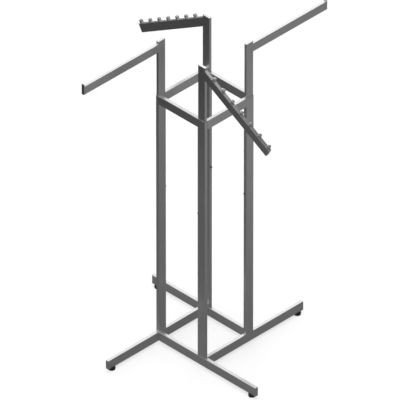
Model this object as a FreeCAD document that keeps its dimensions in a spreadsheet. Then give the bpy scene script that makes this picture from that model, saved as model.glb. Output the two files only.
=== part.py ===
"""Four way clothing rack: a square column of four telescoping posts on a pinwheel base.

Two arms are straight and two slope down as waterfall arms with pegs. The origin is on the
floor at the centre of the column, +Z up. The front arm points along +X and the right arm
along +Y, so every side is the front side turned about +Z. All sizes are in millimetres.
"""

import FreeCAD, Part

import os

from FreeCAD import Rotation, Vector
from Sketcher import Constraint

DIMENSIONS = [
    ("tube_deep", 40, "wide side of the frame tube"),
    ("tube_thin", 15, "narrow side of the frame tube"),
    ("tube_wall", 1.2, "wall of every tube"),
    ("tube_corner", 2, "outer corner radius of the frame tube"),
    ("post_corner", 1.5, "outer corner radius of the posts and arms"),
    ("post_gap", 0.3, "gap all round between a post and its upright"),
    ("column_wide", 265, "outer width of the square column"),
    ("leg_reach", 406.5, "centre of the column to a leg's end"),
    ("glide_high", 11.5, "floor to the underside of the base"),
    ("upright_top", 1161.5, "floor to the top of the uprights"),
    ("post_top", 1411.5, "floor to the top of the posts"),
    ("post_long", 900, "length of a post with its cap"),
    ("lowest_hole", 565.5, "floor to the lowest height hole"),
    ("hole_pitch", 75, "step between height holes"),
    ("hole_count", 8, "height holes in each upright"),
    ("hole_wide", 9, "diameter of a height hole"),
    ("button_hole", 2, "number of the hole that holds the button, counted from 0"),
    ("button_wide", 8, "diameter of the snap button"),
    ("button_gap", 0.3, "gap round the button in the post"),
    ("button_proud", 6, "button tip to the face of the upright"),
    ("seat_gap", 0.1, "gap on both sides of the button's flange"),
    ("flange_wide", 9.2, "diameter of the button's flange"),
    ("flange_thick", 1.2, "thickness of the button's flange"),
    ("spring_wide", 7, "width of the button's leaf spring"),
    ("spring_thick", 0.8, "thickness of the leaf spring"),
    ("spring_tall", 42, "height of the leaf spring"),
    ("arm_long", 400, "post to the end of an arm"),
    ("arm_drop", 12, "top of a post down to the top of its arm"),
    ("arm_slope", 30, "slope of a waterfall arm in degrees"),
    ("slope_thin", 14.5, "narrow side of a waterfall arm"),
    ("plate_tall", 48, "height of a straight arm's end plate"),
    ("plate_wide", 14, "width of the end plate"),
    ("plate_thick", 3, "thickness of the end plate"),
    ("plate_corner", 3, "corner radius of the end plate"),
    ("plate_lip", 10.5, "end plate above the top of the arm"),
    ("cap_thick", 2, "thickness of an end cap's head"),
    ("plug_deep", 12, "length of an end cap's plug"),
    ("plug_gap", 0.1, "gap round an end cap's plug"),
    ("plug_corner", 1, "corner radius of an end cap's plug"),
    ("peg_count", 7, "pegs on a waterfall arm"),
    ("peg_first", 49, "post to the first peg along the arm"),
    ("peg_pitch", 56.25, "step between pegs"),
    ("peg_wide", 14.5, "diameter of a peg"),
    ("peg_tall", 14, "height of a peg"),
    ("peg_round", 1.5, "rounding of a peg's head"),
    ("glide_inset", 25.5, "leg end to the centre of its glide"),
    ("glide_wide", 28.6, "diameter of a glide's pad"),
    ("glide_round", 1.5, "rounding of the pad's rims"),
    ("stud_wide", 7.4, "diameter of the glide's stud"),
    ("stud_tall", 31, "length of the stud"),
    ("stud_sunk", 7, "depth of the stud in its pad"),
    ("nut_flats", 11, "width across the flats of the weld nut"),
    ("nut_tall", 6.5, "height of the weld nut"),
    ("stud_gap", 0.3, "gap round the stud in its nut"),
]

SIDES = {"front": 0, "right": 90, "back": 180, "left": 270}
WATERFALL_SIDES = ("front", "back")

# Formulas over the sheet, used wherever a derived size is needed.
POST_DEEP = "(Sizes.tube_deep - 2 * Sizes.tube_wall - 2 * Sizes.post_gap)"
POST_THIN = "(Sizes.tube_thin - 2 * Sizes.tube_wall - 2 * Sizes.post_gap)"
HALF_IN = "(Sizes.column_wide / 2 - Sizes.tube_thin)"
TUBE_LINE = "(Sizes.column_wide / 2 - Sizes.tube_thin / 2)"
POST_FACE = "(Sizes.column_wide / 2 - Sizes.tube_wall - Sizes.post_gap)"
UPRIGHT_FACE = "(Sizes.column_wide / 2 - Sizes.tube_deep)"
UPRIGHT_LINE = "(Sizes.column_wide / 2 - Sizes.tube_deep / 2)"
BASE_TOP = "(Sizes.glide_high + Sizes.tube_deep)"
ARM_TOP = "(Sizes.post_top - Sizes.arm_drop)"
BUTTON_HEIGHT = "(Sizes.lowest_hole + Sizes.button_hole * Sizes.hole_pitch)"
GLIDE_PLACE = "(Sizes.leg_reach - Sizes.glide_inset)"

# More than a hole takes out of one wall and less than it takes out of two, in mm3.
ONE_WALL_LIMIT = 100

doc = FreeCAD.newDocument("clothing_rack")
pieces = []


def make_sheet():
    sheet = doc.addObject("Spreadsheet::Sheet", "Sizes")
    for row, (alias, value, note) in enumerate(DIMENSIONS, 1):
        sheet.set(f"A{row}", note)
        sheet.set(f"B{row}", str(value))
        sheet.setAlias(f"B{row}", alias)
    doc.recompute()


# Axes that a body's own X, Y and Z take in the front side's frame.
STANDING = (Vector(1, 0, 0), Vector(0, 1, 0), Vector(0, 0, 1))
ALONG_X = (Vector(0, 0, 1), Vector(0, -1, 0), Vector(1, 0, 0))
AGAINST_X = (Vector(0, 0, 1), Vector(0, 1, 0), Vector(-1, 0, 0))


def new_body(label):
    body = doc.addObject("PartDesign::Body", label)
    body.Label = label
    pieces.append(body)
    return body


def place(piece, side, axes, x, y, z, tilt=0):
    """Put a piece made for the front side on another side; x, y and z are formulas."""
    turn = Rotation(Vector(0, 0, 1), SIDES[side])
    lean = Rotation(Vector(0, 1, 0), tilt)
    piece.Placement.Rotation = turn * lean * Rotation(*axes, "ZXY")
    angle = f"{SIDES[side]} deg"
    piece.setExpression("Placement.Base.x", f"({x}) * cos({angle}) - ({y}) * sin({angle})")
    piece.setExpression("Placement.Base.y", f"({x}) * sin({angle}) + ({y}) * cos({angle})")
    piece.setExpression("Placement.Base.z", z)


def sketch_on(body, role, name):
    sketch = body.newObject("Sketcher::SketchObject", name)
    plane = next(item for item in body.Origin.OriginFeatures if item.Role == role)
    sketch.AttachmentSupport = (plane, [""])
    sketch.MapMode = "FlatFace"
    return sketch


def bind(sketch, constraint, name, formula):
    index = sketch.addConstraint(constraint)
    sketch.renameConstraint(index, name)
    sketch.setExpression(f"Constraints.{name}", formula)


def add_outline(sketch, corners):
    """A closed chain of lines through the corners."""
    ends = [Vector(x, y, 0) for x, y in corners]
    count = len(ends)
    for i in range(count):
        sketch.addGeometry(Part.LineSegment(ends[i], ends[(i + 1) % count]), False)
    for i in range(count):
        sketch.addConstraint(Constraint("Coincident", i, 2, (i + 1) % count, 1))


def rectangle(body, name, wide, thin):
    """A rectangle centred on the body's Z axis: wide along X, thin along Y."""
    sketch = sketch_on(body, "XY_Plane", name)
    add_outline(sketch, [(-9, -5), (9, -5), (9, 5), (-9, 5)])
    for line in (0, 2):
        sketch.addConstraint(Constraint("Horizontal", line))
    for line in (1, 3):
        sketch.addConstraint(Constraint("Vertical", line))
    sketch.addConstraint(Constraint("Symmetric", 0, 1, 2, 1, -1, 1))
    bind(sketch, Constraint("DistanceX", 0, 1, 0, 2, 18), "wide", wide)
    bind(sketch, Constraint("DistanceY", 1, 1, 1, 2, 10), "thin", thin)
    return sketch


def circle(body, role, name, wide, up="0"):
    """A circle on one of the body's planes, centred at the formula's height up its V axis."""
    sketch = sketch_on(body, role, name)
    sketch.addGeometry(Part.Circle(Vector(0, 5, 0), Vector(0, 0, 1), 3), False)
    bind(sketch, Constraint("Diameter", 0, 6), "wide", wide)
    if up == "0":
        sketch.addConstraint(Constraint("Coincident", 0, 3, -1, 1))
    else:
        sketch.addConstraint(Constraint("PointOnObject", 0, 3, -2))
        bind(sketch, Constraint("DistanceY", -1, 1, 0, 3, 5), "up", up)
    return sketch


def pad(body, sketch, length, reverse=False, both=False):
    feature = body.newObject("PartDesign::Pad", f"{sketch.Name}_pad")
    feature.Profile = sketch
    feature.setExpression("Length", length)
    feature.Reversed = reverse
    if both:
        feature.SideType = "Symmetric"
    doc.recompute()
    return feature


def lines_along(shape, axis):
    names = []
    for number, edge in enumerate(shape.Edges, 1):
        if isinstance(edge.Curve, Part.Line) and abs(edge.Curve.Direction.dot(axis)) > 0.999:
            names.append(f"Edge{number}")
    return names


def rims(shape, only_far_end=False):
    """The circular edges of a round solid that stands on the body's XY plane."""
    far = shape.BoundBox.ZMax
    names = []
    for number, edge in enumerate(shape.Edges, 1):
        at_far_end = abs(edge.BoundBox.ZMin - far) < 0.01
        if isinstance(edge.Curve, Part.Circle) and (at_far_end or not only_far_end):
            names.append(f"Edge{number}")
    return names


def round_edges(body, feature, edges, radius):
    fillet = body.newObject("PartDesign::Fillet", f"{body.Name}_round")
    fillet.Base = (feature, edges)
    fillet.setExpression("Radius", radius)
    doc.recompute()
    return fillet


def hollow(body, feature, open_faces):
    """Leave a wall inside the body's skin and take the open faces away."""
    shell = body.newObject("PartDesign::Thickness", f"{body.Name}_wall")
    shell.Base = (feature, open_faces)
    shell.setExpression("Value", "Sizes.tube_wall")
    shell.Mode = "Skin"
    shell.Join = "Intersection"
    shell.Reversed = True
    doc.recompute()
    return shell


def ends_of(shape, outward):
    """The flat faces whose outward normals are the given directions."""
    names = []
    for number, face in enumerate(shape.Faces, 1):
        normal = face.normalAt(0, 0)
        if any(normal.dot(direction) > 0.999 for direction in outward):
            names.append(f"Face{number}")
    return names


def tube(label, wide, thin, corner, length):
    """A rounded rectangular tube along the body's Z axis, open at both ends."""
    body = new_body(label)
    solid = pad(body, rectangle(body, f"{label}_section", wide, thin), length)
    axis = Vector(0, 0, 1)
    rounded = round_edges(body, solid, lines_along(solid.Shape, axis), corner)
    hollow(body, rounded, ends_of(rounded.Shape, (axis, -axis)))
    return body


def drill(body, wide, up):
    """A round hole through the wall on the body's -X side only."""
    before = body.Shape.Volume
    hole = body.newObject("PartDesign::Pocket", f"{body.Name}_hole")
    hole.Profile = circle(body, "YZ_Plane", f"{body.Name}_hole_rim", wide, up)
    hole.Type = "ThroughAll"
    hole.Reversed = False
    doc.recompute()
    taken = before - body.Shape.Volume
    if not 0 < taken < ONE_WALL_LIMIT:
        raise RuntimeError(f"{body.Label}: the hole took {taken:.1f} mm3")
    return hole


def repeat(body, feature, axis_role, pitch, count):
    pattern = body.newObject("PartDesign::LinearPattern", f"{body.Name}_row")
    pattern.Originals = [feature]
    axis = next(item for item in body.Origin.OriginFeatures if item.Role == axis_role)
    pattern.Direction = (axis, [""])
    pattern.setExpression("Length", f"{pitch} * ({count} - 1)")
    pattern.setExpression("Occurrences", count)
    body.Tip = pattern
    doc.recompute()
    return pattern


def end_cap(label, wide, thin, corner):
    """A head with the tube's outline and a plug that fills the tube's mouth below it."""
    body = new_body(label)
    head = pad(body, rectangle(body, f"{label}_head", wide, thin), "Sizes.cap_thick")
    round_edges(body, head, lines_along(head.Shape, Vector(0, 0, 1)), corner)
    gap = "2 * (Sizes.tube_wall + Sizes.plug_gap)"
    plug = rectangle(body, f"{label}_plug", f"{wide} - {gap}", f"{thin} - {gap}")
    plug_solid = pad(body, plug, "Sizes.plug_deep", reverse=True)
    corners = [name for name in lines_along(plug_solid.Shape, Vector(0, 0, 1))
               if plug_solid.Shape.getElement(name).BoundBox.ZMax < 0.01]
    round_edges(body, plug_solid, corners, "Sizes.plug_corner")
    return body


def make_frame_side(side):
    """The base rail, upright and top rail of one side, with the leg's cap and weld nut."""
    frame_tube = ("Sizes.tube_deep", "Sizes.tube_thin", "Sizes.tube_corner")
    rail_height = "Sizes.glide_high + Sizes.tube_deep / 2"
    rail = tube(f"base_rail_{side}", *frame_tube, f"Sizes.leg_reach + {HALF_IN} - Sizes.cap_thick")
    drill(rail, "Sizes.stud_wide + 4 * Sizes.stud_gap", f"{GLIDE_PLACE} + {HALF_IN}")
    place(rail, side, ALONG_X, f"-{HALF_IN}", f"-{TUBE_LINE}", rail_height)

    cap = end_cap(f"leg_cap_{side}", *frame_tube)
    cap_place = "Sizes.leg_reach - Sizes.cap_thick"
    place(cap, side, ALONG_X, cap_place, f"-{TUBE_LINE}", rail_height)

    upright = tube(f"upright_{side}", *frame_tube, f"Sizes.upright_top - {BASE_TOP}")
    hole = drill(upright, "Sizes.hole_wide", f"Sizes.lowest_hole - {BASE_TOP}")
    repeat(upright, hole, "Z_Axis", "Sizes.hole_pitch", "Sizes.hole_count")
    place(upright, side, STANDING, UPRIGHT_LINE, f"-{TUBE_LINE}", BASE_TOP)

    top_rail = tube(f"top_rail_{side}", *frame_tube, f"{UPRIGHT_FACE} + {HALF_IN}")
    top_height = "Sizes.upright_top - Sizes.tube_deep / 2"
    place(top_rail, side, ALONG_X, f"-{HALF_IN}", f"-{TUBE_LINE}", top_height)

    nut = new_body(f"glide_nut_{side}")
    hexagon = sketch_on(nut, "XY_Plane", f"{nut.Name}_section")
    add_hexagon(hexagon, "Sizes.nut_flats / cos(30 deg) / 2")
    pad(nut, hexagon, "Sizes.nut_tall")
    bore = nut.newObject("PartDesign::Pocket", f"{nut.Name}_bore")
    bore_wide = "Sizes.stud_wide + 2 * Sizes.stud_gap"
    bore.Profile = circle(nut, "XY_Plane", f"{nut.Name}_bore_rim", bore_wide)
    bore.Type = "ThroughAll"
    bore.Reversed = True
    doc.recompute()
    place(nut, side, STANDING, GLIDE_PLACE, f"-{TUBE_LINE}", "Sizes.glide_high + Sizes.tube_wall")


def add_hexagon(sketch, radius):
    """A regular hexagon with two corners on the sketch's X axis."""
    cosine, sine = 0.5, 0.866
    corners = [(1, 0), (cosine, sine), (-cosine, sine), (-1, 0), (-cosine, -sine), (cosine, -sine)]
    add_outline(sketch, [(7 * x, 7 * y) for x, y in corners])
    sketch.addGeometry(Part.Circle(Vector(0, 0, 0), Vector(0, 0, 1), 7), True)
    sketch.addConstraint(Constraint("Coincident", 6, 3, -1, 1))
    for line in range(6):
        sketch.addConstraint(Constraint("PointOnObject", line, 1, 6))
    for line in range(1, 6):
        sketch.addConstraint(Constraint("Equal", 0, line))
    sketch.addConstraint(Constraint("PointOnObject", 0, 1, -1))
    bind(sketch, Constraint("Radius", 6, 7), "corner", radius)


def make_glide(side):
    """A levelling glide: a round pad on a threaded stud."""
    pad_body = new_body(f"glide_pad_{side}")
    disc = circle(pad_body, "XY_Plane", f"{pad_body.Name}_rim", "Sizes.glide_wide")
    solid = pad(pad_body, disc, "Sizes.glide_high")
    round_edges(pad_body, solid, rims(solid.Shape), "Sizes.glide_round")
    socket = pad_body.newObject("PartDesign::Pocket", f"{pad_body.Name}_socket")
    socket_rim = circle(pad_body, "XY_Plane", f"{pad_body.Name}_socket_rim", "Sizes.stud_wide")
    socket_rim.setExpression("AttachmentOffset.Base.z", "Sizes.glide_high")
    socket.Profile = socket_rim
    socket.setExpression("Length", "Sizes.stud_sunk")
    doc.recompute()
    place(pad_body, side, STANDING, GLIDE_PLACE, f"-{TUBE_LINE}", "0")

    stud = new_body(f"glide_stud_{side}")
    pad(stud, circle(stud, "XY_Plane", f"{stud.Name}_rim", "Sizes.stud_wide"), "Sizes.stud_tall")
    sunk = "Sizes.glide_high - Sizes.stud_sunk"
    place(stud, side, STANDING, GLIDE_PLACE, f"-{TUBE_LINE}", sunk)


def make_post(side):
    """The sliding post of one side with its cap, snap button and leaf spring."""
    section = (POST_DEEP, POST_THIN, "Sizes.post_corner")
    post = tube(f"post_{side}", *section, "Sizes.post_long - Sizes.cap_thick")
    foot = "(Sizes.post_top - Sizes.post_long)"
    drill(post, "Sizes.button_wide + 2 * Sizes.button_gap", f"{BUTTON_HEIGHT} - {foot}")
    place(post, side, STANDING, UPRIGHT_LINE, f"-{TUBE_LINE}", foot)

    cap = end_cap(f"post_cap_{side}", *section)
    cap_height = "Sizes.post_top - Sizes.cap_thick"
    place(cap, side, STANDING, UPRIGHT_LINE, f"-{TUBE_LINE}", cap_height)

    button = new_body(f"button_{side}")
    inner_face = f"({UPRIGHT_LINE} - {POST_DEEP} / 2 + Sizes.tube_wall)"
    seat = f"({inner_face} + Sizes.seat_gap)"
    flange = circle(button, "XY_Plane", f"{button.Name}_flange", "Sizes.flange_wide")
    pad(button, flange, "Sizes.flange_thick", reverse=True)
    stub = circle(button, "XY_Plane", f"{button.Name}_stub", "Sizes.button_wide")
    stub_solid = pad(button, stub, f"{seat} - {UPRIGHT_FACE} + Sizes.button_proud")
    tip = rims(stub_solid.Shape, only_far_end=True)
    round_edges(button, stub_solid, tip, "Sizes.button_wide / 4")
    place(button, side, AGAINST_X, seat, f"-{TUBE_LINE}", BUTTON_HEIGHT)

    spring = new_body(f"button_spring_{side}")
    leaf = sketch_on(spring, "XZ_Plane", f"{spring.Name}_leaf")
    add_leaf(leaf, f"{POST_DEEP} - 2 * Sizes.tube_wall - Sizes.seat_gap - Sizes.flange_thick")
    pad(spring, leaf, "Sizes.spring_wide", both=True)
    leaf_place = f"{seat} + Sizes.flange_thick + Sizes.seat_gap"
    place(spring, side, STANDING, leaf_place, f"-{TUBE_LINE}", BUTTON_HEIGHT)


def add_leaf(sketch, reach):
    """A V-shaped strip: one leg stands behind the button, the other leans on the far wall."""
    add_outline(sketch, [(0, 5), (0, -38), (2, -38), (30, 3), (29, 4), (1, -36), (1, 5)])
    sketch.addConstraint(Constraint("PointOnObject", 0, 1, -2))
    sketch.addConstraint(Constraint("Vertical", 0))
    sketch.addConstraint(Constraint("Horizontal", 1))
    sketch.addConstraint(Constraint("Vertical", 5))
    sketch.addConstraint(Constraint("Horizontal", 6))
    sketch.addConstraint(Constraint("Parallel", 2, 4))
    sketch.addConstraint(Constraint("Perpendicular", 2, 3))
    bind(sketch, Constraint("DistanceY", -1, 1, 0, 1, 5), "above", "Sizes.flange_wide / 2")
    bind(sketch, Constraint("DistanceY", 0, 2, 0, 1, 43), "tall", "Sizes.spring_tall")
    bind(sketch, Constraint("DistanceX", 6, 2, 6, 1, 1), "leg", "Sizes.spring_thick")
    bind(sketch, Constraint("Distance", 3, 1, 3, 2, 1), "lean", "Sizes.spring_thick")
    bind(sketch, Constraint("DistanceX", 1, 1, 1, 2, 2), "bend", "2 * Sizes.spring_thick")
    bind(sketch, Constraint("DistanceX", -1, 1, 3, 1, 30), "reach", f"{reach} - 2 * Sizes.seat_gap")
    sketch.addConstraint(Constraint("DistanceY", -1, 1, 3, 1, 2))


def make_straight_arm(side):
    """A level arm with an end plate that stands above it as a stop."""
    arm = tube(f"arm_{side}", POST_DEEP, POST_THIN, "Sizes.post_corner",
               "Sizes.arm_long - Sizes.plate_thick")
    arm_height = f"{ARM_TOP} - {POST_DEEP} / 2"
    place(arm, side, ALONG_X, POST_FACE, f"-{TUBE_LINE}", arm_height)

    plate = new_body(f"end_plate_{side}")
    section = rectangle(plate, f"{plate.Name}_section", "Sizes.plate_tall", "Sizes.plate_wide")
    solid = pad(plate, section, "Sizes.plate_thick")
    edges = lines_along(solid.Shape, Vector(0, 0, 1))
    round_edges(plate, solid, edges, "Sizes.plate_corner")
    tip = f"{POST_FACE} + Sizes.arm_long - Sizes.plate_thick"
    plate_height = f"{ARM_TOP} + Sizes.plate_lip - Sizes.plate_tall / 2"
    place(plate, side, ALONG_X, tip, f"-{TUBE_LINE}", plate_height)


def make_waterfall_arm(side):
    """A sloping arm, cut to stand against the post, with its end cap and its pegs."""
    arm = new_body(f"arm_{side}")
    profile = sketch_on(arm, "XZ_Plane", f"{arm.Name}_profile")
    add_slope(profile)
    solid = pad(arm, profile, "Sizes.slope_thin", both=True)
    slope = doc.Sizes.arm_slope
    down = Rotation(Vector(0, 1, 0), slope).multVec(Vector(1, 0, 0))
    long_edges = lines_along(solid.Shape, down)
    rounded = round_edges(arm, solid, long_edges, "Sizes.post_corner")
    hollow(arm, rounded, ends_of(rounded.Shape, (Vector(-1, 0, 0), down)))
    place(arm, side, STANDING, POST_FACE, f"-{TUBE_LINE}", ARM_TOP)

    cap = end_cap(f"arm_cap_{side}", POST_DEEP, "Sizes.slope_thin", "Sizes.post_corner")
    along = "(Sizes.arm_long - Sizes.cap_thick)"
    x, z = sloped(along, f"-{POST_DEEP} / 2")
    place(cap, side, ALONG_X, x, f"-{TUBE_LINE}", z, tilt=slope)

    pegs = new_body(f"pegs_{side}")
    pegs.AllowCompound = True
    rim = circle(pegs, "XY_Plane", f"{pegs.Name}_rim", "Sizes.peg_wide")
    peg = pad(pegs, rim, "Sizes.peg_tall")
    head = rims(peg.Shape, only_far_end=True)
    rounded_head = round_edges(pegs, peg, head, "Sizes.peg_round")
    row = repeat(pegs, peg, "X_Axis", "Sizes.peg_pitch", "Sizes.peg_count")
    row.Originals = [peg, rounded_head]
    doc.recompute()
    x, z = sloped("Sizes.peg_first", "0")
    place(pegs, side, STANDING, x, f"-{TUBE_LINE}", z, tilt=slope)


def sloped(along, above):
    """Formulas for a point so far along a sloping arm's top and so far above it."""
    cosine, sine = "cos(Sizes.arm_slope * 1 deg)", "sin(Sizes.arm_slope * 1 deg)"
    x = f"{POST_FACE} + ({along}) * {cosine} + ({above}) * {sine}"
    z = f"{ARM_TOP} - ({along}) * {sine} + ({above}) * {cosine}"
    return x, z


def add_slope(sketch):
    """A sloping bar's side view: cut upright at the post and square at its end."""
    add_outline(sketch, [(0, 0), (345, -199), (326, -231), (0, -43)])
    sketch.addConstraint(Constraint("Coincident", 0, 1, -1, 1))
    sketch.addConstraint(Constraint("PointOnObject", 3, 1, -2))
    sketch.addConstraint(Constraint("Parallel", 0, 2))
    sketch.addConstraint(Constraint("Perpendicular", 0, 1))
    bind(sketch, Constraint("Distance", 0, 1, 0, 2, 398), "long", "Sizes.arm_long - Sizes.cap_thick")
    bind(sketch, Constraint("Distance", 1, 1, 1, 2, 37), "deep", POST_DEEP)
    fall = "(Sizes.arm_long - Sizes.cap_thick) * sin(Sizes.arm_slope * 1 deg)"
    bind(sketch, Constraint("DistanceY", 0, 2, -1, 1, 199), "fall", fall)


def check_and_export():
    doc.recompute()
    for item in doc.Objects:
        if {"Invalid", "Error"} & set(item.State):
            raise RuntimeError(f"{item.Label}: {item.State}")
    for piece in pieces:
        if piece.Shape.isNull() or not piece.Shape.isValid() or not piece.Shape.Solids:
            raise RuntimeError(f"{piece.Label}: no valid shape")
    os.makedirs("parts", exist_ok=True)
    for piece in pieces:
        piece.Shape.exportStep(f"parts/{piece.Label}.step")
        box = piece.Shape.BoundBox
        print(f"{piece.Label:22} {piece.Shape.Volume:10.0f} mm3, {len(piece.Shape.Solids)} solid, "
              f"x {box.XMin:.1f} {box.XMax:.1f} y {box.YMin:.1f} {box.YMax:.1f} "
              f"z {box.ZMin:.1f} {box.ZMax:.1f}")


make_sheet()
for side in SIDES:
    make_frame_side(side)
    make_glide(side)
    make_post(side)
    if side in WATERFALL_SIDES:
        make_waterfall_arm(side)
    else:
        make_straight_arm(side)
check_and_export()
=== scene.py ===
"""Looks for the four way clothing rack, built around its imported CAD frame."""

import math

import bmesh
import bpy
from mathutils import Matrix, Vector


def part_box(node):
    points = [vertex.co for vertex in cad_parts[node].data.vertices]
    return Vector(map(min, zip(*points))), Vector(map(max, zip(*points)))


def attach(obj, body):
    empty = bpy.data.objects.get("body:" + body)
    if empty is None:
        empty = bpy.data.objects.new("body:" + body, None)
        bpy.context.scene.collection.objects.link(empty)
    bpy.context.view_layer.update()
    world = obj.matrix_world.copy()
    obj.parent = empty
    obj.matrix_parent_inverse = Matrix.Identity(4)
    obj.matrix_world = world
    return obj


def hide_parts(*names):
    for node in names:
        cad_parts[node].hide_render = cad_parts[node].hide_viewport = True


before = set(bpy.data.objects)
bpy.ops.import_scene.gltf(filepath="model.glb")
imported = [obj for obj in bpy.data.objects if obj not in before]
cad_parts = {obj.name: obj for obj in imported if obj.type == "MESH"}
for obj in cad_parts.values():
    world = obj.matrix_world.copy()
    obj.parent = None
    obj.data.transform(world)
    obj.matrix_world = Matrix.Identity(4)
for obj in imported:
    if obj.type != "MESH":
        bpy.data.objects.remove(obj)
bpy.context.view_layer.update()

MM = 0.001
SIDES = {"front": 0, "right": 90, "back": 180, "left": 270}
WATERFALL_SIDES = ("front", "back")
ARM_AXES = {"front": "slope_front", "back": "slope_back", "right": "y", "left": "y"}
LEG_AXES = {"front": "x", "back": "x", "right": "y", "left": "y"}

# Sizes read from the frame, in metres, all for the front side.
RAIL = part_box("base_rail_front")
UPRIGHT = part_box("upright_front")
TOP_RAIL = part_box("top_rail_front")
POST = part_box("post_front")
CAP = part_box("post_cap_front")
STRAIGHT_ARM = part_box("arm_right")
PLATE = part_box("end_plate_right")
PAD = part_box("glide_pad_front")
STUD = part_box("glide_stud_front")

TUBE_CORNER = 2.0 * MM
POST_CORNER = 1.5 * MM
PLATE_CORNER = 3.0 * MM
CAP_THICK = 2.0 * MM
SLOPE, SLOPE_ARM_LONG, SLOPE_ARM_THIN = math.radians(30), 400 * MM, 14.5 * MM
ARM_TOP = STRAIGHT_ARM[1][2]
ARM_DEEP = STRAIGHT_ARM[1][2] - STRAIGHT_ARM[0][2]
POST_FACE = POST[1][0]
OUTER_Y, INNER_Y = UPRIGHT[0][1], UPRIGHT[1][1]
MIDDLE_Y = (OUTER_Y + INNER_Y) / 2
BEAD = 1.1 * MM
PEG_FIRST, PEG_PITCH, PEG_COUNT = 49 * MM, 56.25 * MM, 7
PEG_RADIUS, PEG_TALL, PEG_HEAD = 7.25 * MM, 14.0 * MM, 1.5 * MM


# Materials ------------------------------------------------------------------------------

# Between these two values lies nearly all of a noise.
NOISE_LOW, NOISE_HIGH = 0.3, 0.7


def new_material(name):
    material = bpy.data.materials.new(name)
    material.use_nodes = True
    nodes = material.node_tree.nodes
    return material, nodes, material.node_tree.links, nodes["Principled BSDF"]


def noise(nodes, links, vector, scale, detail):
    node = nodes.new("ShaderNodeTexNoise")
    node.inputs["Scale"].default_value = scale
    node.inputs["Detail"].default_value = detail
    links.new(vector, node.inputs["Vector"])
    return node.outputs["Fac"]


def ramp(nodes, links, value, low, high):
    """Spread a noise value between two colours."""
    node = nodes.new("ShaderNodeValToRGB")
    node.color_ramp.elements[0].position = NOISE_LOW
    node.color_ramp.elements[1].position = NOISE_HIGH
    node.color_ramp.elements[0].color = (*low, 1)
    node.color_ramp.elements[1].color = (*high, 1)
    links.new(value, node.inputs["Fac"])
    return node.outputs["Color"]


def spread(nodes, links, value, low, high):
    """Spread a noise value between two numbers."""
    node = nodes.new("ShaderNodeMapRange")
    node.inputs["From Min"].default_value = NOISE_LOW
    node.inputs["From Max"].default_value = NOISE_HIGH
    node.inputs["To Min"].default_value = low
    node.inputs["To Max"].default_value = high
    links.new(value, node.inputs["Value"])
    return node.outputs["Result"]


def bump(nodes, links, height, distance, strength=1.0, normal=None):
    node = nodes.new("ShaderNodeBump")
    node.inputs["Distance"].default_value = distance
    node.inputs["Strength"].default_value = strength
    links.new(height, node.inputs["Height"])
    if normal is not None:
        links.new(normal, node.inputs["Normal"])
    return node.outputs["Normal"]


def grain_vector(nodes, links, axis, stretch):
    """Object coordinates squeezed along the tube, so that a noise runs along it as grain."""
    coordinates = nodes.new("ShaderNodeTexCoord").outputs["Object"]
    tilt = {"slope_front": SLOPE, "slope_back": -SLOPE}.get(axis, 0.0)
    level = nodes.new("ShaderNodeMapping")
    level.inputs["Rotation"].default_value = (0, -tilt, 0)
    links.new(coordinates, level.inputs["Vector"])
    squeeze = nodes.new("ShaderNodeMapping")
    along = "x" if axis.startswith("slope") else axis
    scale = [1 / stretch if name == along else 1.0 for name in "xyz"]
    squeeze.inputs["Scale"].default_value = scale
    links.new(level.outputs["Vector"], squeeze.inputs["Vector"])
    return squeeze.outputs["Vector"], coordinates


def satin_tube(axis):
    """Satin silver lacquer on drawn steel tube: faint grain along it and a fine skin."""
    grain_stretch, grain_scale, cloud_scale, skin_scale = 60, 900, 7, 1500
    relief, softness = 0.00001, 0.3
    material, nodes, links, shader = new_material(f"satin_tube_{axis}")
    grained, plain = grain_vector(nodes, links, axis, grain_stretch)
    grain = noise(nodes, links, grained, grain_scale, 4)
    cloud = noise(nodes, links, plain, cloud_scale, 3)
    skin = noise(nodes, links, plain, skin_scale, 2)
    tone = ramp(nodes, links, cloud, (0.74, 0.742, 0.745), (0.78, 0.782, 0.785))
    streak = ramp(nodes, links, grain, (0.93, 0.93, 0.93), (1.0, 1.0, 1.0))
    mix = nodes.new("ShaderNodeMix")
    mix.data_type = "RGBA"
    mix.blend_type = "MULTIPLY"
    mix.inputs["Factor"].default_value = 1.0
    links.new(tone, mix.inputs["A"])
    links.new(streak, mix.inputs["B"])
    links.new(mix.outputs["Result"], shader.inputs["Base Color"])
    shader.inputs["Metallic"].default_value = 0.92
    shader.inputs["Roughness"].default_value = 0.29
    fine = bump(nodes, links, skin, relief, softness)
    links.new(bump(nodes, links, grain, relief, softness, fine), shader.inputs["Normal"])
    return material


def weld_metal():
    """Lacquered weld bead: the tube's colour, a little darker and rougher in its ripples."""
    speckle_scale, relief = 1200, 0.0001
    material, nodes, links, shader = new_material("weld_bead")
    plain = nodes.new("ShaderNodeTexCoord").outputs["Object"]
    speckle = noise(nodes, links, plain, speckle_scale, 3)
    links.new(ramp(nodes, links, speckle, (0.60, 0.60, 0.61), (0.74, 0.74, 0.745)),
              shader.inputs["Base Color"])
    shader.inputs["Metallic"].default_value = 0.9
    links.new(spread(nodes, links, speckle, 0.3, 0.5), shader.inputs["Roughness"])
    links.new(bump(nodes, links, speckle, relief), shader.inputs["Normal"])
    return material


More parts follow.
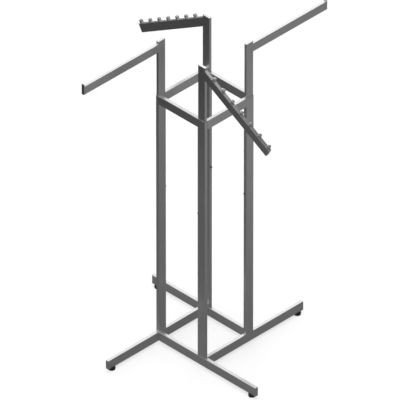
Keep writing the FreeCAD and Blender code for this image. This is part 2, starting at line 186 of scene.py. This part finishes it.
def moulded_plastic(name, low, high, roughness, metallic=0.0):
    """Fine-grained moulded plastic, plain or lacquered silver."""
    leather_scale, cloud_scale, relief, variation = 1800, 60, 0.00006, 0.06
    material, nodes, links, shader = new_material(name)
    plain = nodes.new("ShaderNodeTexCoord").outputs["Object"]
    leather = noise(nodes, links, plain, leather_scale, 2)
    cloud = noise(nodes, links, plain, cloud_scale, 3)
    links.new(ramp(nodes, links, cloud, low, high), shader.inputs["Base Color"])
    links.new(spread(nodes, links, cloud, roughness - variation, roughness + variation),
              shader.inputs["Roughness"])
    shader.inputs["Metallic"].default_value = metallic
    links.new(bump(nodes, links, leather, relief), shader.inputs["Normal"])
    return material


def bright_steel(name, low, high, roughness):
    """Zinc-plated or polished steel with a cloudy finish."""
    cloud_scale, relief, variation = 180, 0.00003, 0.07
    material, nodes, links, shader = new_material(name)
    plain = nodes.new("ShaderNodeTexCoord").outputs["Object"]
    cloud = noise(nodes, links, plain, cloud_scale, 4)
    links.new(ramp(nodes, links, cloud, low, high), shader.inputs["Base Color"])
    shader.inputs["Metallic"].default_value = 1.0
    links.new(spread(nodes, links, cloud, roughness - variation, roughness + variation),
              shader.inputs["Roughness"])
    links.new(bump(nodes, links, cloud, relief), shader.inputs["Normal"])
    return material


TUBES = {axis: satin_tube(axis) for axis in ("x", "y", "z", "slope_front", "slope_back")}
WELD = weld_metal()
CAP_PLASTIC = moulded_plastic("cap_plastic", (0.73, 0.73, 0.735), (0.77, 0.77, 0.775), 0.32,
                              metallic=0.9)
BLACK = moulded_plastic("black_plastic", (0.010, 0.010, 0.011), (0.022, 0.022, 0.024), 0.5)
SOLE = moulded_plastic("sole_nylon", (0.13, 0.13, 0.16), (0.17, 0.17, 0.20), 0.45)
ZINC = bright_steel("zinc_steel", (0.55, 0.56, 0.58), (0.66, 0.67, 0.70), 0.32)
SPRING = bright_steel("spring_steel", (0.38, 0.39, 0.42), (0.50, 0.51, 0.54), 0.25)
BUTTON = bright_steel("button_steel", (0.20, 0.20, 0.21), (0.30, 0.30, 0.31), 0.35)


def paint(node, material):
    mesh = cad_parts[node].data
    mesh.materials.clear()
    mesh.materials.append(material)


# Mesh helpers ---------------------------------------------------------------------------

def side_matrix(side):
    return Matrix.Rotation(math.radians(SIDES[side]), 4, "Z")


def make_piece(name, mesh, matrix, material, body):
    """A finished mesh piece in the row frame, riding on its body."""
    mesh.transform(matrix)
    mesh.materials.append(material)
    mesh.shade_smooth()
    piece = bpy.data.objects.new(name, mesh)
    bpy.context.scene.collection.objects.link(piece)
    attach(piece, body)
    return piece


def mesh_of_rings(name, rings, close_start=True, close_end=True):
    """A closed skin through rings of equally many points."""
    build = bmesh.new()
    made = [[build.verts.new(point) for point in ring] for ring in rings]
    count = len(made[0])
    for low, high in zip(made, made[1:]):
        for i in range(count):
            j = (i + 1) % count
            build.faces.new((low[i], low[j], high[j], high[i]))
    if close_start:
        build.faces.new(list(reversed(made[0])))
    if close_end:
        build.faces.new(made[-1])
    bmesh.ops.recalc_face_normals(build, faces=build.faces)
    mesh = bpy.data.meshes.new(name)
    build.to_mesh(mesh)
    build.free()
    return mesh


def rounded_outline(wide, thin, corner):
    """Points round a rounded rectangle centred on the origin, in the XY plane."""
    steps = 6
    points = []
    for quarter in range(4):
        sign_x = 1 if quarter in (0, 3) else -1
        sign_y = 1 if quarter in (0, 1) else -1
        for step in range(steps + 1):
            angle = math.radians(90 * quarter + 90 * step / steps)
            x = sign_x * (wide / 2 - corner) + corner * math.cos(angle)
            y = sign_y * (thin / 2 - corner) + corner * math.sin(angle)
            points.append((x, y))
    return points


def slab(name, wide, thin, corner, thick, edge, both=False):
    """A rounded rectangular head from z=0 up to thick, with a rounded rim at its top."""
    arc_steps, least_corner = 6, 0.2 * MM
    angles = [math.radians(90 * i / arc_steps) for i in range(arc_steps + 1)]
    arc = [(edge * (1 - math.cos(a)), thick - edge + edge * math.sin(a)) for a in angles]
    if both:
        levels = [(inset, thick - height) for inset, height in reversed(arc)] + arc
    else:
        levels = [(0.0, 0.0)] + arc
    rings = []
    for inset, height in levels:
        rounding = max(corner - inset, least_corner)
        outline = rounded_outline(wide - 2 * inset, thin - 2 * inset, rounding)
        rings.append([(x, y, height) for x, y in outline])
    return mesh_of_rings(name, rings)


def lathe(name, profile, steps):
    """A solid of revolution about Z through (radius, height) points."""
    rings = []
    for radius, height in profile:
        rings.append([(radius * math.cos(math.tau * i / steps),
                       radius * math.sin(math.tau * i / steps), height) for i in range(steps)])
    return mesh_of_rings(name, rings)


def bead_mesh(points, closed=False, radius=BEAD, ripple=1.9 * MM):
    """A rippled weld bead along a path of points, like a row of overlapping coins."""
    sides, per_ripple, ripple_depth, tip_size, tip_run = 8, 4, 0.20, 0.35, 3
    path = [Vector(point) for point in points]
    if closed:
        path.append(path[0])
    samples = []
    step = ripple / per_ripple
    for start, end in zip(path, path[1:]):
        count = max(2, round((end - start).length / step))
        ahead = (end - start).normalized()
        samples += [(start.lerp(end, i / count), ahead) for i in range(count)]
    if not closed:
        samples.append((path[-1], (path[-1] - path[-2]).normalized()))
    rings, run = [], 0.0
    for index, (point, ahead) in enumerate(samples):
        if index:
            run += (point - samples[index - 1][0]).length
        wave = abs(math.sin(math.pi * run / ripple))
        size = radius * (1 - ripple_depth + ripple_depth * wave)
        if not closed:
            from_end = min(index, len(samples) - 1 - index)
            size *= min(1.0, tip_size + from_end / tip_run)
        aside = ahead.orthogonal().normalized()
        other = ahead.cross(aside)
        rings.append([point + size * (math.cos(math.tau * k / sides) * aside
                                      + math.sin(math.tau * k / sides) * other)
                      for k in range(sides)])
    if closed:
        rings.append(rings[0])
    mesh = mesh_of_rings("bead", rings, not closed, not closed)
    if closed:
        build = bmesh.new()
        build.from_mesh(mesh)
        bmesh.ops.remove_doubles(build, verts=build.verts, dist=1e-6)
        build.to_mesh(mesh)
        build.free()
    return mesh


def join_meshes(name, meshes):
    build = bmesh.new()
    for mesh in meshes:
        build.from_mesh(mesh)
        bpy.data.meshes.remove(mesh)
    joined = bpy.data.meshes.new(name)
    build.to_mesh(joined)
    build.free()
    return joined


# Pieces ---------------------------------------------------------------------------------

def cross_line(x, z, low=OUTER_Y, high=INNER_Y, clear=1.5 * MM):
    """A line across a tube's narrow side."""
    return [(x, low + clear, z), (x, high - clear, z)]


def frame_welds(side):
    """Beads where the column's tubes meet in concave corners."""
    base_low, base_top = RAIL[0][2], RAIL[1][2]
    rail_low, rail_top = TOP_RAIL[0][2], TOP_RAIL[1][2]
    next_in, next_out = -INNER_Y, -OUTER_Y
    corner = TUBE_CORNER
    lines = [
        cross_line(UPRIGHT[0][0], base_top),
        cross_line(UPRIGHT[1][0], base_top),
        [(next_in + corner, INNER_Y, base_top), (next_out - corner, INNER_Y, base_top)],
        [(next_in, INNER_Y, base_low + corner), (next_in, INNER_Y, base_top - corner)],
        [(next_out, INNER_Y, base_low + corner), (next_out, INNER_Y, base_top - corner)],
        cross_line(TOP_RAIL[1][0], rail_low),
        cross_line(TOP_RAIL[0][0], rail_low),
        [(TOP_RAIL[0][0], INNER_Y, rail_low + corner),
         (TOP_RAIL[0][0], INNER_Y, rail_top - corner)],
    ]
    mesh = join_meshes(f"weld_frame_{side}", [bead_mesh(line) for line in lines])
    make_piece(f"weld_frame_{side}", mesh, side_matrix(side), WELD, "frame")


def slope_matrix(along, above=0.0):
    """A place so far down a waterfall arm and above its top: X down the slope, Z its normal."""
    x = POST_FACE + along * math.cos(SLOPE) + above * math.sin(SLOPE)
    z = ARM_TOP - along * math.sin(SLOPE) + above * math.cos(SLOPE)
    return Matrix.Translation((x, MIDDLE_Y, z)) @ Matrix.Rotation(SLOPE, 4, "Y")


def arm_welds(side):
    """Beads at the arm's root, and round each peg or along the end plate."""
    low_y, high_y = POST[0][1], POST[1][1]
    end_gap, fine_ripple, steps = 1 * MM, 1.4 * MM, 36
    waterfall = side in WATERFALL_SIDES
    root_low = ARM_TOP - (ARM_DEEP / math.cos(SLOPE) if waterfall else ARM_DEEP)
    beads = [bead_mesh(cross_line(POST_FACE, height, low_y, high_y, end_gap))
             for height in (ARM_TOP, root_low)]
    if waterfall:
        angles = [math.tau * i / steps for i in range(steps)]
        for number in range(PEG_COUNT):
            place = slope_matrix(PEG_FIRST + number * PEG_PITCH)
            ring = [place @ Vector((PEG_RADIUS * math.cos(a), PEG_RADIUS * math.sin(a), 0))
                    for a in angles]
            beads.append(bead_mesh(ring, closed=True, radius=0.55 * MM, ripple=fine_ripple))
    else:
        centre = (ARM_TOP + root_low) / 2
        outline = rounded_outline(ARM_DEEP, high_y - low_y, POST_CORNER)
        ring = [(PLATE[0][1], MIDDLE_Y + y, centre + x) for x, y in outline]
        beads.append(bead_mesh(ring, closed=True, radius=0.6 * MM, ripple=fine_ripple))
    mesh = join_meshes(f"weld_arm_{side}", beads)
    make_piece(f"weld_arm_{side}", mesh, side_matrix(side), WELD, f"arm_unit_{side}")


# Turns a flat head so that its Z points along X, with its wide side upright.
AXES_ALONG_X = Matrix(((0, 0, 1, 0), (0, -1, 0, 0), (1, 0, 0, 0), (0, 0, 0, 1)))


def cap_pieces(side):
    """Moulded caps in the tops of the posts and the ends of the legs and sloping arms."""
    turned = side_matrix(side)
    post_wide, post_thin = POST[1][0] - POST[0][0], POST[1][1] - POST[0][1]
    rail_wide, rail_thin = RAIL[1][2] - RAIL[0][2], RAIL[1][1] - RAIL[0][1]
    middle_x, rim = (POST[0][0] + POST[1][0]) / 2, 0.8 * MM
    top = slab("cap", post_wide, post_thin, POST_CORNER, CAP_THICK, rim)
    place = Matrix.Translation((middle_x, MIDDLE_Y, CAP[1][2] - CAP_THICK))
    piece = make_piece(f"post_cap_head_{side}", top, turned @ place, CAP_PLASTIC,
                       f"arm_unit_{side}")
    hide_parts(f"post_cap_{side}")
    end = slab("cap", rail_wide, rail_thin, TUBE_CORNER, CAP_THICK, rim)
    leg_height = (RAIL[0][2] + RAIL[1][2]) / 2
    place = Matrix.Translation((RAIL[1][0], MIDDLE_Y, leg_height)) @ AXES_ALONG_X
    piece = make_piece(f"leg_cap_head_{side}", end, turned @ place, CAP_PLASTIC,
                       "frame")
    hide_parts(f"leg_cap_{side}")
    if side in WATERFALL_SIDES:
        end = slab("cap", post_wide, SLOPE_ARM_THIN, POST_CORNER, CAP_THICK, rim)
        place = slope_matrix(SLOPE_ARM_LONG - CAP_THICK, -ARM_DEEP / 2) @ AXES_ALONG_X
        piece = make_piece(f"arm_cap_head_{side}", end, turned @ place, CAP_PLASTIC,
                           f"arm_unit_{side}")
        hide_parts(f"arm_cap_{side}")


def end_plate(side):
    """The stop plate of a straight arm, with its rims rounded on both faces."""
    tall, wide = PLATE[1][2] - PLATE[0][2], PLATE[1][0] - PLATE[0][0]
    thick, rim = PLATE[1][1] - PLATE[0][1], 0.6 * MM
    mesh = slab("plate", tall, wide, PLATE_CORNER, thick, rim, both=True)
    centre = (PLATE[0][2] + PLATE[1][2]) / 2
    place = Matrix.Translation((PLATE[0][1], MIDDLE_Y, centre)) @ AXES_ALONG_X
    piece = make_piece(f"stop_plate_{side}", mesh, side_matrix(side) @ place, TUBES["z"],
                       f"arm_unit_{side}")
    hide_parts(f"end_plate_{side}")


def peg_row(side):
    """Round pegs with softened heads, one solid each."""
    steps, arc_steps = 40, 8
    flat, neck = PEG_RADIUS - PEG_HEAD, PEG_TALL - PEG_HEAD
    profile = [(PEG_RADIUS, 0.0), (PEG_RADIUS, neck)]
    for i in range(1, arc_steps):
        angle = math.radians(90 * i / arc_steps)
        profile.append((flat + PEG_HEAD * math.cos(angle), neck + PEG_HEAD * math.sin(angle)))
    profile.append((flat, PEG_TALL))
    meshes = []
    for number in range(PEG_COUNT):
        mesh = lathe("peg", profile, steps)
        mesh.transform(slope_matrix(PEG_FIRST + number * PEG_PITCH))
        meshes.append(mesh)
    mesh = join_meshes(f"peg_row_{side}", meshes)
    piece = make_piece(f"peg_row_{side}", mesh, side_matrix(side), TUBES["z"],
                       f"arm_unit_{side}")
    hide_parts(f"pegs_{side}")


def ring_points(radius, z, steps, swell):
    """One ring of a turned piece, whose radius grows by swell at each angle."""
    ring = []
    for i in range(steps):
        angle = math.tau * i / steps
        r = radius + swell(angle)
        ring.append((r * math.cos(angle), r * math.sin(angle), z))
    return ring


def glide_pad(place, side, radius):
    """The fluted pad and the pale sole that it stands on."""
    sole_high, rim, crown, height = 2.5 * MM, 1.5 * MM, 5 * MM, PAD[1][2]
    steps, sole_steps, arc_steps = 144, 72, 5
    flutes, flute_deep, fluted_levels = 36, 0.25 * MM, (2, 3, 4)
    levels = [(radius - 1.0 * MM, sole_high), (radius - 0.3 * MM, sole_high + 0.2 * MM)]
    levels += [(radius, sole_high + 0.6 * MM), (radius, height - rim)]
    for i in range(1, arc_steps + 1):
        angle = math.radians(90 * i / arc_steps)
        levels.append((radius - rim + rim * math.cos(angle), height - rim + rim * math.sin(angle)))
    levels.append((radius - crown, height))
    rings = []
    for level, (ring_radius, z) in enumerate(levels):
        deep = flute_deep if level in fluted_levels else 0.0
        rings.append(ring_points(ring_radius, z, steps,
                                 lambda angle: -deep * (0.5 + 0.5 * math.cos(flutes * angle))))
    pad = make_piece(f"glide_body_{side}", mesh_of_rings("pad", rings), place, BLACK,
                     f"glide_{side}")
    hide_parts(f"glide_pad_{side}")
    profile = [(1.6 * MM, 0.0), (0.9 * MM, 0.25 * MM), (0.5 * MM, 0.9 * MM), (0.4 * MM, sole_high)]
    sole = lathe("sole", [(radius - inset, z) for inset, z in profile], sole_steps)
    make_piece(f"glide_sole_{side}", sole, place, SOLE, f"glide_{side}")


def glide_stud(place, side):
    """The stud with its thread cut in, fading out at the top."""
    pitch, depth, per_turn, steps = 1.25 * MM, 0.6 * MM, 10, 30
    root = (STUD[1][0] - STUD[0][0]) / 2 - depth
    low, high = STUD[0][2], STUD[1][2]
    count = round((high - low) / pitch * per_turn)
    rings = []
    for level in range(count + 1):
        z = low + (high - low) * level / count
        lead = min(1.0, (high - z) / pitch)

        def thread(angle):
            phase = (z / pitch - angle / math.tau) % 1.0
            return depth * lead * (1 - abs(2 * phase - 1))

        rings.append(ring_points(root, z, steps, thread))
    stud = make_piece(f"glide_thread_{side}", mesh_of_rings("thread", rings), place, ZINC,
                      f"glide_{side}")
    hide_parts(f"glide_stud_{side}")


def glide(side):
    """A levelling glide: fluted black pad, pale nylon sole and threaded stud."""
    centre_x = (PAD[0][0] + PAD[1][0]) / 2
    place = side_matrix(side) @ Matrix.Translation((centre_x, MIDDLE_Y, 0))
    glide_pad(place, side, (PAD[1][0] - PAD[0][0]) / 2)
    glide_stud(place, side)


def paint_frame():
    """Materials for the CAD nodes that stay in view."""
    for side in SIDES:
        paint(f"base_rail_{side}", TUBES[LEG_AXES[side]])
        paint(f"top_rail_{side}", TUBES[LEG_AXES[side]])
        paint(f"upright_{side}", TUBES["z"])
        paint(f"post_{side}", TUBES["z"])
        paint(f"arm_{side}", TUBES[ARM_AXES[side]])
        paint(f"glide_nut_{side}", ZINC)
        paint(f"button_{side}", BUTTON)
        paint(f"button_spring_{side}", SPRING)


paint_frame()
for side in SIDES:
    frame_welds(side)
    arm_welds(side)
    cap_pieces(side)
    glide(side)
    if side in WATERFALL_SIDES:
        peg_row(side)
    else:
        end_plate(side)


# Studio ---------------------------------------------------------------------------------

# The surround as the rack's gloss sees it. Each row has the direction of a screen's middle, the
# cosines where it is full and gone, and its level. The last two are a faint dome overhead and a
# band along the horizon.
SCREENS = [
    ((-1, 1, 1), 0.95, 0.72, 1.40),
    ((1, -1, 1), 0.95, 0.72, 1.0),
    ((-1, -1, 1), 0.95, 0.72, 0.9),
    ((1, 1, 1), 0.95, 0.72, 0.06),
    ((0, 0, 1), 0.60, -0.2, 0.06),
    ((0, 0, 1), 0.12, 0.42, 0.28),
]

# What the rack's gloss sees of the floor along its diagonal: place in metres and level.
FLOOR_GLOW = [(-2.5, 0.015), (-1.9, 0.026), (-1.4, 0.11), (-0.6, 0.103), (-0.3, 0.15),
              (0.0, 0.137), (1.1, 0.20), (1.7, 0.285), (2.5, 0.20)]
# What the camera sees: a grey that takes light, and a white glow under it.
FLOOR_GREY, FLOOR_BASE = 0.35, 0.665


def make_floor():
    """A plain floor, white to the camera and dim, brighter to one side, in the rack's gloss."""
    half_wide, grey_spread = 60, 0.005
    build = bmesh.new()
    bmesh.ops.create_grid(build, x_segments=8, y_segments=8, size=half_wide)
    mesh = bpy.data.meshes.new("floor")
    build.to_mesh(mesh)
    build.free()
    floor = bpy.data.objects.new("floor", mesh)
    bpy.context.scene.collection.objects.link(floor)
    material, nodes, links, shader = new_material("floor_pale")
    plain = nodes.new("ShaderNodeTexCoord").outputs["Object"]
    tone = noise(nodes, links, plain, 3, 2)
    low, high = [FLOOR_GREY - grey_spread] * 3, [FLOOR_GREY + grey_spread] * 3
    links.new(ramp(nodes, links, tone, low, high), shader.inputs["Base Color"])
    shader.inputs["Roughness"].default_value = 0.9
    shader.inputs["Specular IOR Level"].default_value = 0.0
    shader.inputs["Emission Color"].default_value = (1, 1, 1, 1)
    shader.inputs["Emission Strength"].default_value = FLOOR_BASE
    diagonal = nodes.new("ShaderNodeVectorMath")
    diagonal.operation = "DOT_PRODUCT"
    links.new(plain, diagonal.inputs[0])
    diagonal.inputs[1].default_value = Vector((1, 1, 0)).normalized()
    first, last = FLOOR_GLOW[0][0], FLOOR_GLOW[-1][0]
    along = nodes.new("ShaderNodeMapRange")
    along.inputs["From Min"].default_value = first
    along.inputs["From Max"].default_value = last
    links.new(diagonal.outputs["Value"], along.inputs["Value"])
    levels = nodes.new("ShaderNodeValToRGB")
    stops = levels.color_ramp.elements
    while len(stops) < len(FLOOR_GLOW):
        stops.new(0.5)
    for stop, (place, level) in zip(stops, FLOOR_GLOW):
        stop.position = (place - first) / (last - first)
        stop.color = (level, level, level, 1)
    links.new(along.outputs["Result"], levels.inputs["Fac"])
    glow = nodes.new("ShaderNodeEmission")
    links.new(levels.outputs["Color"], glow.inputs["Color"])
    mix = nodes.new("ShaderNodeMixShader")
    links.new(nodes.new("ShaderNodeLightPath").outputs["Is Camera Ray"], mix.inputs["Fac"])
    links.new(glow.outputs["Emission"], mix.inputs[1])
    links.new(shader.outputs["BSDF"], mix.inputs[2])
    links.new(mix.outputs["Shader"], nodes["Material Output"].inputs["Surface"])
    mesh.materials.append(material)


def add_level(nodes, links, direction, centre, near, far, level):
    """Brightness around one direction: full where the cosine passes near, none below far."""
    dot = nodes.new("ShaderNodeVectorMath")
    dot.operation = "DOT_PRODUCT"
    links.new(direction, dot.inputs[0])
    dot.inputs[1].default_value = Vector(centre).normalized()
    fade = nodes.new("ShaderNodeMapRange")
    fade.interpolation_type = "SMOOTHSTEP"
    fade.inputs["From Min"].default_value = far
    fade.inputs["From Max"].default_value = near
    fade.inputs["To Max"].default_value = level
    links.new(dot.outputs["Value"], fade.inputs["Value"])
    return fade.outputs["Result"]


def make_world():
    """White behind the rack, and in its gloss a studio surround with screens at the corners."""
    world = bpy.data.worlds.new("studio")
    bpy.context.scene.world = world
    world.use_nodes = True
    nodes, links = world.node_tree.nodes, world.node_tree.links
    nodes.clear()
    direction = nodes.new("ShaderNodeTexCoord").outputs["Generated"]
    total = None
    for centre, near, far, level in SCREENS:
        part = add_level(nodes, links, direction, centre, near, far, level)
        if total is not None:
            add = nodes.new("ShaderNodeMath")
            links.new(total, add.inputs[0])
            links.new(part, add.inputs[1])
            part = add.outputs["Value"]
        total = part
    light = nodes.new("ShaderNodeBackground")
    links.new(total, light.inputs["Strength"])
    pale = nodes.new("ShaderNodeBackground")
    pale.inputs["Color"].default_value = (1, 1, 1, 1)
    mix = nodes.new("ShaderNodeMixShader")
    links.new(nodes.new("ShaderNodeLightPath").outputs["Is Camera Ray"], mix.inputs["Fac"])
    links.new(light.outputs["Background"], mix.inputs[1])
    links.new(pale.outputs["Background"], mix.inputs[2])
    links.new(mix.outputs["Shader"], nodes.new("ShaderNodeOutputWorld").inputs["Surface"])


def add_light(name, kind, energy, place, aim, size, glossy=True):
    data = bpy.data.lights.new(name, kind)
    data.energy = energy
    if kind == "AREA":
        data.shape = "SQUARE"
        data.size = size
    else:
        data.angle = size
    light = bpy.data.objects.new(name, data)
    bpy.context.scene.collection.objects.link(light)
    light.location = place
    light.rotation_euler = (Vector(aim) - Vector(place)).to_track_quat("-Z", "Y").to_euler()
    light.visible_camera = False
    light.visible_glossy = glossy


def make_lights():
    """A soft sun overhead, left out of the gloss, and a square lamp above the right side."""
    add_light("overhead", "SUN", 1.6, (0, 0, 6), (0, 0, 0), math.radians(24), glossy=False)
    add_light("ceiling", "AREA", 2.0, (-0.07, 0.65, 2.4), (-0.07, 0.65, 0), 1.1)


def make_camera():
    """A long lens from the isometric direction, so that upright lines stay parallel."""
    lens, sensor, view_wide, middle_depth = 1700.0, 36.0, 1.5335, 0.45
    aside, above = -0.0184, 0.5458
    back = Vector((1, -1, 1)).normalized()
    right = Vector((1, 1, 0)).normalized()
    up = back.cross(right)
    target = right * aside + up * above
    data = bpy.data.cameras.new("camera")
    data.lens, data.sensor_width = lens, sensor
    distance = view_wide / 2 * lens / (sensor / 2)
    data.clip_start, data.clip_end = 1.0, distance * 2
    camera = bpy.data.objects.new("camera", data)
    bpy.context.scene.collection.objects.link(camera)
    camera.location = target + back * (distance + middle_depth)
    camera.rotation_mode = "QUATERNION"
    camera.rotation_quaternion = (-back).to_track_quat("-Z", "Y")
    bpy.context.scene.camera = camera


make_floor()
make_world()
make_lights()
make_camera()
bpy.context.scene.view_settings.view_transform = "Standard"
